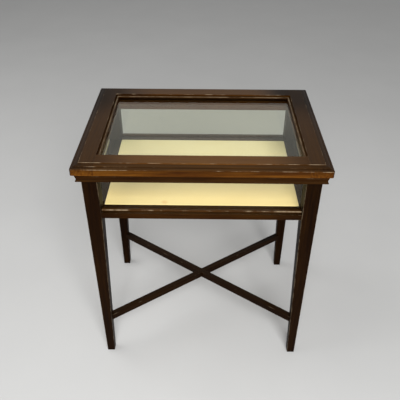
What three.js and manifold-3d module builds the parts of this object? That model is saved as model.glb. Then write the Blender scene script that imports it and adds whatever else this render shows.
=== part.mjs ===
// A bijouterie table: a glazed display case on four tapering legs, with a hinged glazed lid.
// Millimetres, +Z up, +X to the right and +Y to the back, origin on the floor under the middle.
import * as THREE from 'three';
import { mergeVertices } from 'three/addons/utils/BufferGeometryUtils.js';
import Module from 'manifold-3d';

const wasm = await Module();
wasm.setup();

// Clearances
const fitGap = 0.3;
const lidGap = 0.3;
const glassPlay = 0.3;
const screwPlay = 0.15;
const pinPlay = 0.06;
const overrun = 2;

// Lid frame
const lidWidth = 625;
const lidDepth = 457;
const lidEdgeHeight = 17;
const lidFieldRise = 8.6;
const lidCornerRadius = 4;
const lidArrisRadius = 0.4;
const outerMouldingWidth = 19;
const lidFieldWidth = 37;
const innerMouldingWidth = 8;
const innerMouldingDrop = 7;
const lidLipHeight = 6;
const lidTenonLength = 28;
const lidTenonWidth = 24;
const lidTenonThickness = 7;
const lidTenonBase = 8;

// Lid glass and the beads under it
const lidRebateWidth = 7;
const lidGlassThickness = 3;
const lidBeadWidth = 6.2;
const lidBeadHeight = 7.6;
const lidBeadRadius = 4;

// Case
const lidOverhang = 19.2;
const caseTop = 672.2;
const caseDepth = 142.2;
const legSide = 38.5;
const footSide = 21.8;
const footBevel = 1.2;
const taperBelowRail = 1;
const bottomRailHeight = 16;
const topRailHeight = 22.7;
const railSetback = 0.5;
const railTenonLength = 13;
const railTenonThickness = 8;
const topTenonHeight = 11;
const topTenonShoulder = 4;
const bottomTenonHeight = 7;
const bottomTenonShoulder = 2;

// Side glass and its beads
const paneThickness = 3;
const paneInset = 18.3;
const grooveDepth = 5;
const paneBeadWidth = 8.2;
const paneBeadHeight = 4.5;
const paneBeadRadius = 3.6;

// Moulding planted under the lid
const friezeHeight = 23.4;
const friezeProud = 11.2;
const friezeFilletHeight = 7;
const friezeCoveDepth = 2.4;
const friezeBeadRadius = 2.5;
const friezeQuirk = 1.8;

// Case bottom
const boardRebateWidth = 6;
const boardRebateHeight = 10;
const baseBoardThickness = 6.5;
const displayBoardThickness = 6;
const displayBoardMargin = 1.9;

// Stretchers
const stretcherWidth = 16.5;
const stretcherHeight = 20;
const stretcherTop = 149;
const stretcherTenonThickness = 7;
const stretcherTenonHeight = 13;

// Hinges and their screws
const hingeFromLeg = 84.8;
const leafLength = 50;
const leafReach = 20;
const leafThickness = 1.6;
const knuckleRadius = 3;
const knuckleCount = 5;
const knuckleGap = 0.3;
const pinRadius = 1.5;
const screwSpacing = 30;
const screwFromPin = 12;
const screwLength = 12;
const screwPointLength = 3;
const screwHeadRadius = 2.7;
const screwHeadRim = 0.3;
const screwHeadDepth = 1.4;
const screwShankRadius = 1.3;
const screwSlotWidth = 0.7;
const screwSlotDepth = 0.5;

// Facets
const cornerSteps = 4;
const curveSteps = 5;
const roundSides = 24;
const screwSides = 16;

// Planes that several pieces share
const caseHalfWidth = lidWidth / 2 - lidOverhang;
const caseHalfDepth = lidDepth / 2 - lidOverhang;
const insideHalfWidth = caseHalfWidth - legSide;
const insideHalfDepth = caseHalfDepth - legSide;
const topRailBase = caseTop - topRailHeight;
const bottomRailBase = caseTop - caseDepth;
const taperTop = bottomRailBase - taperBelowRail;
const bottomRailTop = bottomRailBase + bottomRailHeight;
const rebateTop = bottomRailBase + boardRebateHeight;
const paneCentre = paneInset + paneThickness / 2;
const lidBase = caseTop + lidGap;
const lidThickness = lidEdgeHeight + lidFieldRise;
const lidRebateDepth = lidThickness - innerMouldingDrop - lidLipHeight;
const lidMemberWidth = outerMouldingWidth + lidFieldWidth + innerMouldingWidth;
const openingHalfWidth = lidWidth / 2 - lidMemberWidth;
const openingHalfDepth = lidDepth / 2 - lidMemberWidth;
const hingeX = insideHalfWidth - hingeFromLeg;
const hingeY = caseHalfDepth + knuckleRadius + fitGap;
const hingeZ = caseTop + lidGap / 2;

const mahogany = new THREE.MeshStandardMaterial({ color: 0x57301a, roughness: 0.4 });
const legMahogany = new THREE.MeshStandardMaterial({ color: 0x3a2014, roughness: 0.45 });
const paleWood = new THREE.MeshStandardMaterial({ color: 0xa8845a, roughness: 0.8 });
const creamCloth = new THREE.MeshStandardMaterial({ color: 0xf1e0b4, roughness: 0.95 });
const brass = new THREE.MeshStandardMaterial({ color: 0xb08d4a, roughness: 0.35, metalness: 1 });
const clearGlass = new THREE.MeshStandardMaterial({
  color: 0xdfe8e2,
  roughness: 0.05,
  transparent: true,
  opacity: 0.3,
});

function solidOf(geometry) {
  const bare = geometry.clone();
  bare.deleteAttribute('normal');
  bare.deleteAttribute('uv');
  const merged = mergeVertices(bare);
  const corners = merged.index.array;
  const triangles = [];
  for (let i = 0; i < corners.length; i += 3) {
    const [a, b, c] = corners.slice(i, i + 3);
    if (a !== b && b !== c && c !== a) {
      triangles.push(a, b, c);
    }
  }
  return new wasm.Manifold(new wasm.Mesh({
    numProp: 3,
    vertProperties: new Float32Array(merged.attributes.position.array),
    triVerts: new Uint32Array(triangles),
  }));
}

function piece(name, solid, material) {
  const { vertProperties, triVerts, numProp } = solid.getMesh();
  const shared = new THREE.BufferGeometry();
  shared.setAttribute('position', new THREE.BufferAttribute(vertProperties, numProp));
  shared.setIndex(new THREE.BufferAttribute(triVerts, 1));
  const faceted = shared.toNonIndexed();
  faceted.computeVertexNormals();
  const mesh = new THREE.Mesh(faceted, material);
  mesh.name = name;
  return mesh;
}

function subtractAll(solid, cuts) {
  return cuts.reduce((rest, cut) => rest.subtract(cut), solid);
}

function blockGeometry([x0, x1], [y0, y1], [z0, z1]) {
  const box = new THREE.BoxGeometry(Math.abs(x1 - x0), Math.abs(y1 - y0), Math.abs(z1 - z0));
  return box.translate((x0 + x1) / 2, (y0 + y1) / 2, (z0 + z1) / 2);
}

function block(xs, ys, zs) {
  return solidOf(blockGeometry(xs, ys, zs));
}

function grown([low, high], gap) {
  return [low - gap, high + gap];
}

function closedSolid(positions, index) {
  const geometry = new THREE.BufferGeometry();
  geometry.setAttribute('position', new THREE.Float32BufferAttribute(positions, 3));
  geometry.setIndex(index);
  return solidOf(geometry);
}

// Horizontal rectangles { xs, ys, z, radius } joined into one solid, lowest first.
// Each corner is an arc of so many steps, or a point where steps is 0.
function stackedRectangles(rings, steps) {
  const perRing = 4 * (steps + 1);
  const positions = [];
  for (const { xs: [x0, x1], ys: [y0, y1], z, radius } of rings) {
    [[x1, y1, -1, -1], [x0, y1, 1, -1], [x0, y0, 1, 1], [x1, y0, -1, 1]].forEach((corner, turn) => {
      const [x, y, inwardX, inwardY] = corner;
      if (steps === 0) {
        positions.push(x, y, z);
        return;
      }
      for (let step = 0; step <= steps; step += 1) {
        const angle = (turn + step / steps) * Math.PI / 2;
        const arcX = x + radius * (inwardX + Math.cos(angle));
        const arcY = y + radius * (inwardY + Math.sin(angle));
        positions.push(arcX, arcY, z);
      }
    });
  }
  const index = [];
  for (let ring = 0; ring + 1 < rings.length; ring += 1) {
    for (let i = 0; i < perRing; i += 1) {
      const a = ring * perRing + i;
      const b = ring * perRing + (i + 1) % perRing;
      index.push(a, b, b + perRing, a, b + perRing, a + perRing);
    }
  }
  const last = (rings.length - 1) * perRing;
  for (let i = 1; i + 1 < perRing; i += 1) {
    index.push(0, i + 1, i);
    index.push(last, last + i, last + i + 1);
  }
  return closedSolid(positions, index);
}

// A bar along X from a section of (across, up) points, anticlockwise as seen from +X.
// Each end's X is a function of (across, up), so that an end can be square or mitred.
function bar(section, lowEnd, highEnd) {
  const count = section.length;
  const positions = [];
  for (const end of [lowEnd, highEnd]) {
    for (const { x: across, y: up } of section) {
      positions.push(end(across, up), across, up);
    }
  }
  const index = [];
  for (let i = 0; i < count; i += 1) {
    const j = (i + 1) % count;
    index.push(i, j, j + count, i, j + count, i + count);
  }
  for (const [a, b, c] of THREE.ShapeUtils.triangulateShape(section, [])) {
    index.push(a, c, b);
    index.push(a + count, b + count, c + count);
  }
  return closedSolid(positions, index);
}

function point(x, y) {
  return new THREE.Vector2(x, y);
}

function arc(centreX, centreY, radius, startTurn, endTurn) {
  return Array.from({ length: curveSteps + 1 }, (_, step) => {
    const angle = (startTurn + (endTurn - startTurn) * step / curveSteps) * 2 * Math.PI;
    return point(centreX + radius * Math.cos(angle), centreY + radius * Math.sin(angle));
  });
}

function prism(outline, [z0, z1]) {
  const geometry = new THREE.ExtrudeGeometry(new THREE.Shape(outline), {
    depth: z1 - z0,
    bevelEnabled: false,
  });
  return solidOf(geometry.translate(0, 0, z0));
}

function rod(radius, x0, x1) {
  const cylinder = new THREE.CylinderGeometry(radius, radius, x1 - x0, roundSides);
  return solidOf(cylinder.rotateZ(Math.PI / 2).translate((x0 + x1) / 2, 0, 0));
}

// Screws. The head's face lies at faceZ, and the point is above it where direction is 1, or below
// it where direction is -1.
function screwShape(grow, x, y, faceZ, direction) {
  const outline = [
    point(0, 0),
    point(screwHeadRadius + grow, 0),
    point(screwHeadRadius + grow, screwHeadRim),
    point(screwShankRadius + grow, screwHeadDepth + grow),
    point(screwShankRadius + grow, screwLength - screwPointLength),
    point(0, screwLength + grow),
  ];
  const lathe = new THREE.LatheGeometry(outline, screwSides);
  return solidOf(lathe.rotateX(direction * Math.PI / 2).translate(x, y, faceZ));
}

function screwPlaces() {
  return [-screwSpacing / 2, screwSpacing / 2];
}

// Hinges, each in a frame whose X axis is its pin. The case leaf lies below the pin and has direction
// -1, and the lid leaf above it has direction 1.
function hingeLeaf(direction) {
  const plate = [direction * lidGap / 2, direction * (lidGap / 2 + leafThickness)];
  const half = leafLength / 2;
  const edge = -knuckleRadius - fitGap;
  const pitch = leafLength / knuckleCount;
  let leaf = block([-half, half], [-leafReach, edge], plate);
  for (let i = direction > 0 ? 1 : 0; i < knuckleCount; i += 2) {
    const low = -half + i * pitch + (i > 0 ? knuckleGap / 2 : 0);
    const high = -half + (i + 1) * pitch - (i + 1 < knuckleCount ? knuckleGap / 2 : 0);
    leaf = leaf.add(block([low, high], [edge - overrun, 0], plate));
    leaf = leaf.add(rod(knuckleRadius, low, high));
  }
  const holes = screwPlaces().map((x) => (
    screwShape(screwPlay, x, -screwFromPin, direction * lidGap / 2, direction)
  ));
  return subtractAll(leaf, [rod(pinRadius + pinPlay, -half - overrun, half + overrun), ...holes]);
}

function screw(x, direction) {
  const faceZ = direction * lidGap / 2;
  const slot = block(
    grown([x - screwHeadRadius, x + screwHeadRadius], overrun),
    [-screwFromPin - screwSlotWidth / 2, -screwFromPin + screwSlotWidth / 2],
    [faceZ - direction * overrun, faceZ + direction * screwSlotDepth],
  );
  return screwShape(0, x, -screwFromPin, faceZ, direction).subtract(slot);
}

function hinge(name, x) {
  const group = new THREE.Group();
  group.position.set(x, hingeY, hingeZ);
  group.add(piece(`${name}_case_leaf`, hingeLeaf(-1), brass));
  group.add(piece(`${name}_lid_leaf`, hingeLeaf(1), brass));
  group.add(piece(`${name}_pin`, rod(pinRadius, -leafLength / 2, leafLength / 2), brass));
  screwPlaces().forEach((place, i) => {
    group.add(piece(`${name}_case_screw_${i + 1}`, screw(place, -1), brass));
    group.add(piece(`${name}_lid_screw_${i + 1}`, screw(place, 1), brass));
  });
  return group;
}

// What a hinge with its pin at (x, y) needs cut from a face at z: the rail below has direction -1,
// the lid above it 1. The leaf reaches from the pin along Y, to the side that inward gives.
function hingeCuts(x, y, z, direction, inward) {
  const xs = grown([x - leafLength / 2, x + leafLength / 2], fitGap);
  const leaf = [z - direction * overrun, z + direction * (leafThickness + fitGap)];
  const cuts = [block(xs, [y, y + inward * (leafReach + fitGap)], leaf)];
  if (direction > 0) {
    const knuckle = grown([y - knuckleRadius, y + knuckleRadius], fitGap);
    cuts.push(block(xs, knuckle, [z - overrun, z - lidGap / 2 + knuckleRadius + fitGap]));
  }
  for (const place of screwPlaces()) {
    cuts.push(screwShape(screwPlay, x + place, y + inward * screwFromPin, z, direction));
  }
  return cuts;
}

// Lid. Its mouldings run from the field's edge outwards, as shares of their width and of their drop.
const outerMouldingShares = [
  [0, 0],
  [0.03, 0.26],
  [0.1, 0.3],
  [0.3, 0.33],
  [0.46, 0.41],
  [0.57, 0.53],
  [0.6, 0.74],
  [0.76, 0.72],
  [0.9, 0.8],
];
const innerMouldingShares = [
  [0, 0],
  [0.04, 0.8],
  [0.2, 0.9],
  [0.33, 0.77],
  [0.58, 0.71],
  [0.8, 0.8],
];

function mouldingSteps(shares, width, drop) {
  return shares.map(([acrossShare, dropShare]) => ({
    inset: width * (1 - acrossShare),
    z: lidThickness - drop * dropShare,
  })).reverse();
}

function lidBlank() {
  const ring = ({ inset, z }) => ({
    xs: grown([-lidWidth / 2, lidWidth / 2], -inset),
    ys: grown([-lidDepth / 2, lidDepth / 2], -inset),
    z,
    radius: Math.max(lidCornerRadius - inset, lidArrisRadius),
  });
  const steps = [
    { inset: 0, z: 0 },
    { inset: 0, z: lidEdgeHeight },
    ...mouldingSteps(outerMouldingShares, outerMouldingWidth, lidFieldRise),
  ];
  return stackedRectangles(steps.map(ring), cornerSteps);
}

function lidOpening() {
  const ring = ({ inset, z }) => ({
    xs: grown([-openingHalfWidth, openingHalfWidth], inset),
    ys: grown([-openingHalfDepth, openingHalfDepth], inset),
    z,
  });
  const through = [
    { inset: 0, z: -overrun },
    { inset: 0, z: lidThickness - innerMouldingDrop },
    ...mouldingSteps(innerMouldingShares, innerMouldingWidth, innerMouldingDrop),
    { inset: innerMouldingWidth, z: lidThickness + overrun },
  ];
  const rebate = [
    { inset: lidRebateWidth, z: -overrun },
    { inset: lidRebateWidth, z: lidRebateDepth },
  ];
  return stackedRectangles(through.map(ring), 0).add(stackedRectangles(rebate.map(ring), 0));
}

// A stile runs the lid's full depth and takes the mitres of the inner moulding.
function stilePrism(side, shift) {
  const joint = openingHalfWidth + innerMouldingWidth - shift;
  const inner = openingHalfWidth - overrun - shift;
  const outer = lidWidth / 2 + overrun;
  const end = lidDepth / 2 + overrun;
  const mitreOuter = openingHalfDepth + innerMouldingWidth;
  const mitreInner = openingHalfDepth - overrun;
  const outline = [
    point(side * outer, -end),
    point(side * outer, end),
    point(side * joint, end),
    point(side * joint, mitreOuter),
    point(side * inner, mitreInner),
    point(side * inner, -mitreInner),
    point(side * joint, -mitreOuter),
    point(side * joint, -end),
  ];
  return prism(outline, [-overrun, lidThickness + overrun]);
}

function lidTenon(fieldCentre, gap) {
  const joint = openingHalfWidth + innerMouldingWidth;
  return block(
    grown([-joint - lidTenonLength, joint + lidTenonLength], gap),
    grown([fieldCentre - lidTenonWidth / 2, fieldCentre + lidTenonWidth / 2], gap),
    grown([lidTenonBase, lidTenonBase + lidTenonThickness], gap),
  );
}

function lidFrame(lid) {
  const frame = lidBlank().subtract(lidOpening());
  const fieldCentre = lidDepth / 2 - outerMouldingWidth - lidFieldWidth / 2;
  const mortises = [lidTenon(-fieldCentre, fitGap), lidTenon(fieldCentre, fitGap)];
  for (const [name, side] of [['lid_stile_left', -1], ['lid_stile_right', 1]]) {
    const stile = frame.intersect(stilePrism(side, 0));
    lid.add(piece(name, subtractAll(stile, mortises), mahogany));
  }
  const rails = subtractAll(frame, [stilePrism(-1, fitGap), stilePrism(1, fitGap)]);
  const wide = grown([-lidWidth / 2, lidWidth / 2], overrun);
  const tall = grown([0, lidThickness], overrun);
  const front = rails.intersect(block(wide, [-lidDepth, 0], tall));
  const back = rails.intersect(block(wide, [0, lidDepth], tall));
  const hingeLeft = hingeCuts(-hingeX, hingeY, 0, 1, -1);
  const hingeRight = hingeCuts(hingeX, hingeY, 0, 1, -1);
  lid.add(piece('lid_rail_front', front.add(lidTenon(-fieldCentre, 0)), mahogany));
  const tenoned = back.add(lidTenon(fieldCentre, 0));
  lid.add(piece('lid_rail_back', subtractAll(tenoned, [...hingeLeft, ...hingeRight]), mahogany));
}

function lidGlazing(lid) {
  const bed = lidRebateWidth - glassPlay;
  const glassTop = lidRebateDepth - fitGap;
  const glassBase = glassTop - lidGlassThickness;
  const pane = block(
    grown([-openingHalfWidth, openingHalfWidth], bed),
    grown([-openingHalfDepth, openingHalfDepth], bed),
    [glassBase, glassTop],
  );
  lid.add(piece('lid_glass', pane, clearGlass));
  const beadBase = glassBase - fitGap - lidBeadHeight;
  const section = [
    point(0, 0),
    ...arc(lidBeadWidth - lidBeadRadius, lidBeadRadius, lidBeadRadius, -0.25, 0),
    point(lidBeadWidth, lidBeadHeight),
    point(0, lidBeadHeight),
  ];
  const beads = new THREE.Group();
  beads.position.z = beadBase;
  const sides = [
    ['lid_bead_front', openingHalfWidth, openingHalfDepth, 0],
    ['lid_bead_right', openingHalfDepth, openingHalfWidth, 0.25],
    ['lid_bead_back', openingHalfWidth, openingHalfDepth, 0.5],
    ['lid_bead_left', openingHalfDepth, openingHalfWidth, 0.75],
  ];
  for (const [name, along, out, turn] of sides) {
    const reach = along + lidRebateWidth - fitGap * 1.5;
    const solid = bar(section, (across) => across - reach, (across) => reach - across);
    const bead = piece(name, solid, mahogany);
    bead.position.y = -out - lidRebateWidth + fitGap;
    const arm = new THREE.Group();
    arm.rotation.z = turn * 2 * Math.PI;
    arm.add(bead);
    beads.add(arm);
  }
  lid.add(beads);
}

// Legs. A post's outer corner is at (x, y), its faces there are upright and its inner faces taper.
// The case lies towards (inX, inY) from the corner.
function legSideAt(z) {
  return THREE.MathUtils.mapLinear(z, footBevel, taperTop, footSide, legSide);
}

function legPost(x, y, inX, inY, gap) {
  const span = (corner, inward, from, to) => {
    const ends = [corner + inward * (from - gap), corner + inward * (to + gap)];
    return inward > 0 ? ends : ends.reverse();
  };
  const ring = (from, to, z) => ({ xs: span(x, inX, from, to), ys: span(y, inY, from, to), z });
  return stackedRectangles([
    ring(footBevel, footSide - footBevel, 0),
    ring(0, footSide, footBevel),
    ring(0, legSide, taperTop),
    ring(0, legSide, caseTop),
  ], 0);
}

const stretcherMiddle = stretcherTop - stretcherHeight / 2;
const legCentre = legSideAt(stretcherMiddle) / 2;
const stretcherAngle = Math.atan2(caseHalfDepth - legCentre, caseHalfWidth - legCentre);
const stretcherReach = Math.hypot(caseHalfDepth - legCentre, caseHalfWidth - legCentre);

const railTenons = [
  [caseTop - topTenonShoulder - topTenonHeight, caseTop - topTenonShoulder],
  [bottomRailBase + bottomTenonShoulder, bottomRailBase + bottomTenonShoulder + bottomTenonHeight],
];
const tenonAcross = [paneCentre - railTenonThickness / 2, paneCentre + railTenonThickness / 2];
const grooveAcross = grown([paneInset, paneInset + paneThickness], glassPlay);
const paneHeights = [bottomRailTop - grooveDepth, topRailBase + grooveDepth];
const stretcherTenonHeights = [
  stretcherMiddle - stretcherTenonHeight / 2,
  stretcherMiddle + stretcherTenonHeight / 2,
];

function legCuts(inX, inY) {
  const cuts = [];
  const cutBothWays = (along, across, heights) => {
    const towards = (inward, ends) => ends.map((end) => inward * end);
    cuts.push(block(towards(inX, along), towards(inY, across), heights));
    cuts.push(block(towards(inX, across), towards(inY, along), heights));
  };
  for (const heights of railTenons) {
    const depth = [legSide - railTenonLength - fitGap, legSide + overrun];
    cutBothWays(depth, grown(tenonAcross, fitGap), grown(heights, fitGap));
  }
  cutBothWays([legSide - grooveDepth, legSide + overrun], grooveAcross, paneHeights);
  const mortise = blockGeometry(
    [0, legSide],
    grown([-stretcherTenonThickness / 2, stretcherTenonThickness / 2], fitGap),
    grown(stretcherTenonHeights, fitGap),
  );
  mortise.rotateZ(Math.atan2(inY * Math.sin(stretcherAngle), inX * Math.cos(stretcherAngle)));
  mortise.translate(inX * legCentre, inY * legCentre, 0);
  cuts.push(solidOf(mortise));
  return cuts;
}

function leg(name, sideX, sideY) {
  const post = legPost(0, 0, -sideX, -sideY, 0);
  const mesh = piece(name, subtractAll(post, legCuts(-sideX, -sideY)), legMahogany);
  mesh.position.set(sideX * caseHalfWidth, sideY * caseHalfDepth, 0);
  return mesh;
}

// One side of the case, in a frame that looks at it from the front: its outer plane is at y = 0,
// it runs inwards along +Y, and the legs' inner faces are at x = -clear and x = clear.
function rail([z0, z1], tenonHeights, clear) {
  const body = block(grown([-clear, clear], -fitGap), [railSetback, legSide], [z0, z1]);
  return body.add(block(grown([-clear, clear], railTenonLength), tenonAcross, tenonHeights));
}

function caseSide(side, clear, topCuts) {
  const group = new THREE.Group();
  const long = grown([-clear, clear], overrun + railTenonLength);
  const [topTenon, bottomTenon] = railTenons;
  const topGroove = block(long, grooveAcross, [topRailBase - overrun, topRailBase + grooveDepth]);
  const topRail = rail([topRailBase, caseTop], topTenon, clear);
  group.add(piece(`top_rail_${side}`, subtractAll(topRail, [topGroove, ...topCuts]), mahogany));
  const bottomGroove = block(long, grooveAcross, [bottomRailTop - grooveDepth, bottomRailTop + overrun]);
  const boardRebate = block(
    long,
    [legSide - boardRebateWidth, legSide + overrun],
    [bottomRailBase - overrun, rebateTop],
  );
  const bottomRail = rail([bottomRailBase, bottomRailTop], bottomTenon, clear);
  group.add(piece(`bottom_rail_${side}`, subtractAll(bottomRail, [bottomGroove, boardRebate]), mahogany));
  const pane = block(
    grown([-clear, clear], grooveDepth - glassPlay),
    [paneInset, paneInset + paneThickness],
    grown(paneHeights, -glassPlay),
  );
  group.add(piece(`pane_${side}`, pane, clearGlass));
  group.add(paneBead(side, clear));
  return group;
}

// A bead lies on the bottom rail against the outside of each pane.
function paneBead(side, clear) {
  const round = arc(paneBeadRadius, paneBeadHeight - paneBeadRadius, paneBeadRadius, 0.25, 0.5);
  const section = [
    point(0, 0),
    point(paneBeadWidth, 0),
    point(paneBeadWidth, paneBeadHeight),
    ...round,
  ];
  const reach = clear - fitGap;
  const bead = piece(`pane_bead_${side}`, bar(section, () => -reach, () => reach), mahogany);
  bead.position.set(0, paneInset - fitGap - paneBeadWidth, bottomRailTop + fitGap);
  return bead;
}

// The moulding under the lid: a bead along its foot, a quirk, a shallow cove and a fillet.
// The cove's points are shares of its depth and of its fall from the fillet to the quirk.
const coveShares = [[0, 0], [0.5, 0.22], [0.85, 0.5], [1, 1]];

function friezeSection() {
  const filletBase = friezeHeight - friezeFilletHeight;
  const coveFoot = 2 * friezeBeadRadius + friezeQuirk;
  const beadCentre = friezeBeadRadius - friezeProud;
  return [
    point(0, 0),
    point(0, friezeHeight),
    point(-friezeProud, friezeHeight),
    ...coveShares.map(([depthShare, fallShare]) => point(
      friezeCoveDepth * depthShare - friezeProud,
      THREE.MathUtils.lerp(filletBase, coveFoot, fallShare),
    )),
    ...arc(beadCentre, friezeBeadRadius, friezeBeadRadius, 0.28, 0.75),
  ];
}

function friezeMoulding(side, along, frontEnds) {
  const reach = along + fitGap / 2;
  const mitre = (across) => reach - across;
  const square = () => along;
  const ends = frontEnds.map((mitred) => (mitred ? mitre : square));
  const solid = bar(friezeSection(), (across) => -ends[0](across), ends[1]);
  const mesh = piece(`frieze_moulding_${side}`, solid, mahogany);
  mesh.position.set(0, -fitGap, caseTop - friezeHeight);
  return mesh;
}

function caseBottom(table) {
  const x = insideHalfWidth + boardRebateWidth - fitGap;
  const y = insideHalfDepth + boardRebateWidth - fitGap;
  const notchX = insideHalfWidth - fitGap;
  const notchY = insideHalfDepth - fitGap;
  const outline = [
    [notchX, -y], [notchX, -notchY], [x, -notchY],
    [x, notchY], [notchX, notchY], [notchX, y],
    [-notchX, y], [-notchX, notchY], [-x, notchY],
    [-x, -notchY], [-notchX, -notchY], [-notchX, -y],
  ].map(([px, py]) => point(px, py));
  const baseTop = rebateTop - fitGap;
  table.add(piece('base_board', prism(outline, [baseTop - baseBoardThickness, baseTop]), paleWood));
  const lining = block(
    grown([-insideHalfWidth, insideHalfWidth], -displayBoardMargin),
    grown([-insideHalfDepth, insideHalfDepth], -displayBoardMargin),
    [rebateTop, rebateTop + displayBoardThickness],
  );
  table.add(piece('display_board', lining, creamCloth));
}

// Stretchers: two straight rails from leg to leg, scribed to the legs and halved where they cross.
function turnedBar(angle, half, width, heights) {
  const box = blockGeometry([-half, half], [-width / 2, width / 2], heights);
  return solidOf(box.rotateZ(angle));
}

function stretcher(name, angle, keepsTop) {
  const heights = [stretcherTop - stretcherHeight, stretcherTop];
  const notch = keepsTop
    ? [heights[0] - overrun, stretcherMiddle + fitGap / 2]
    : [stretcherMiddle - fitGap / 2, stretcherTop + overrun];
  const posts = [-1, 1].map((sideX) => {
    const sideY = sideX * Math.sign(angle);
    return legPost(sideX * caseHalfWidth, sideY * caseHalfDepth, -sideX, -sideY, fitGap);
  });
  const scribed = subtractAll(turnedBar(angle, stretcherReach, stretcherWidth, heights), posts);
  const tenonHalf = stretcherReach - fitGap;
  const tenoned = scribed.add(turnedBar(angle, tenonHalf, stretcherTenonThickness, stretcherTenonHeights));
  const crossing = turnedBar(-angle, stretcherReach, stretcherWidth + 2 * fitGap, notch);
  return piece(name, tenoned.subtract(crossing), legMahogany);
}

function buildTable() {
  const table = new THREE.Group();
  table.add(leg('leg_front_left', -1, -1));
  table.add(leg('leg_front_right', 1, -1));
  table.add(leg('leg_back_left', -1, 1));
  table.add(leg('leg_back_right', 1, 1));

  const hingeBelow = [-hingeX, hingeX].flatMap((x) => (
    hingeCuts(x, caseHalfDepth - hingeY, caseTop, -1, 1)
  ));
  const sides = [
    ['front', insideHalfWidth, caseHalfDepth, 0, []],
    ['right', insideHalfDepth, caseHalfWidth, 0.25, []],
    ['back', insideHalfWidth, caseHalfDepth, 0.5, hingeBelow],
    ['left', insideHalfDepth, caseHalfWidth, 0.75, []],
  ];
  const mitredEnds = { front: [true, true], right: [true, false], left: [false, true] };
  for (const [side, clear, out, turn, topCuts] of sides) {
    const facing = new THREE.Group();
    facing.rotation.z = turn * 2 * Math.PI;
    const panel = caseSide(side, clear, topCuts);
    panel.position.y = -out;
    if (mitredEnds[side]) {
      panel.add(friezeMoulding(side, clear + legSide, mitredEnds[side]));
    }
    facing.add(panel);
    table.add(facing);
  }

  caseBottom(table);
  table.add(stretcher('stretcher_lower', stretcherAngle, false));
  table.add(stretcher('stretcher_upper', -stretcherAngle, true));

  const lid = new THREE.Group();
  lid.position.z = lidBase;
  lidFrame(lid);
  lidGlazing(lid);
  table.add(lid);
  table.add(hinge('hinge_left', -hingeX));
  table.add(hinge('hinge_right', hingeX));
  return table;
}

export default buildTable();
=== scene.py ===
import math
import random

import bmesh
import bpy
from mathutils import Matrix, Vector


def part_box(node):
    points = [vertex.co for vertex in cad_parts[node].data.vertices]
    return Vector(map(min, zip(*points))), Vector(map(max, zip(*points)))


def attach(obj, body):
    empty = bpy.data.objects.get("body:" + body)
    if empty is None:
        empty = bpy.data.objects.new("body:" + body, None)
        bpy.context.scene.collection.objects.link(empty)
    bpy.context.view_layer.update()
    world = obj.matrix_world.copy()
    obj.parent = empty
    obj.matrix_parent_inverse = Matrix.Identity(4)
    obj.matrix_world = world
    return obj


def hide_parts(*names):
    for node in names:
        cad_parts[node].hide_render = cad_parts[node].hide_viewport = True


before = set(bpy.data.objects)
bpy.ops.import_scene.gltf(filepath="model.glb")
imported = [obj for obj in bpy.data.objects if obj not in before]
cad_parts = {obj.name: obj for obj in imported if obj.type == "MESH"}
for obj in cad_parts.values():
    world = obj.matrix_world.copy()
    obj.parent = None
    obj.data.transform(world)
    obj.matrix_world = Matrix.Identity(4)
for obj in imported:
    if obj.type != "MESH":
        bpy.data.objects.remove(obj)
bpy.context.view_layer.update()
mm = 0.001
print("frame loaded,", len(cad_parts), "nodes")


def nodeBox(node):
    low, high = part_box(node)
    return [value / mm for value in low], [value / mm for value in high]


def linked(name, data):
    holder = bpy.data.objects.new(name, data)
    bpy.context.collection.objects.link(holder)
    return holder


# the planes that the pieces share, all read from the frame in millimetres
lidLow, lidHigh = nodeBox("lid_stile_right")
legLow, legHigh = nodeBox("leg_front_right")
topLow, topHigh = nodeBox("top_rail_front")
bottomLow, bottomHigh = nodeBox("bottom_rail_front")
paneLow, paneHigh = nodeBox("pane_front")
boardLow, boardHigh = nodeBox("display_board")
halfWidth, halfDepth = lidHigh[0], lidHigh[1]
caseHalfWidth, caseHalfDepth = legHigh[0], -legLow[1]
legSide = legHigh[0] - legLow[0]
caseTop = legHigh[2]
lidBase = lidLow[2]


# Camera, where the photograph was taken from

camera = {
    "place": (7.95, -1244.67, 1351.82),  # millimetres
    "yaw": -0.65,  # degrees, to the right
    "pitch": 36.29,  # degrees, down
    "roll": -0.18,
    "lens": 46.54,
    "sensor": 36.0,
}


def addCamera():
    yaw, pitch, roll = (math.radians(camera[key]) for key in ("yaw", "pitch", "roll"))
    ahead = Vector((math.sin(yaw) * math.cos(pitch), math.cos(yaw) * math.cos(pitch), -math.sin(pitch)))
    level = Vector((math.cos(yaw), -math.sin(yaw), 0))
    down = ahead.cross(level)
    right = level * math.cos(roll) + down * math.sin(roll)
    up = level * math.sin(roll) - down * math.cos(roll)
    data = bpy.data.cameras.new("camera")
    data.lens = camera["lens"]
    data.sensor_width = camera["sensor"]
    holder = linked("camera", data)
    turn = Matrix((right, up, -ahead)).transposed().to_4x4()
    holder.matrix_world = Matrix.Translation(Vector(camera["place"]) * mm) @ turn
    bpy.context.scene.camera = holder


addCamera()


# Materials

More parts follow.
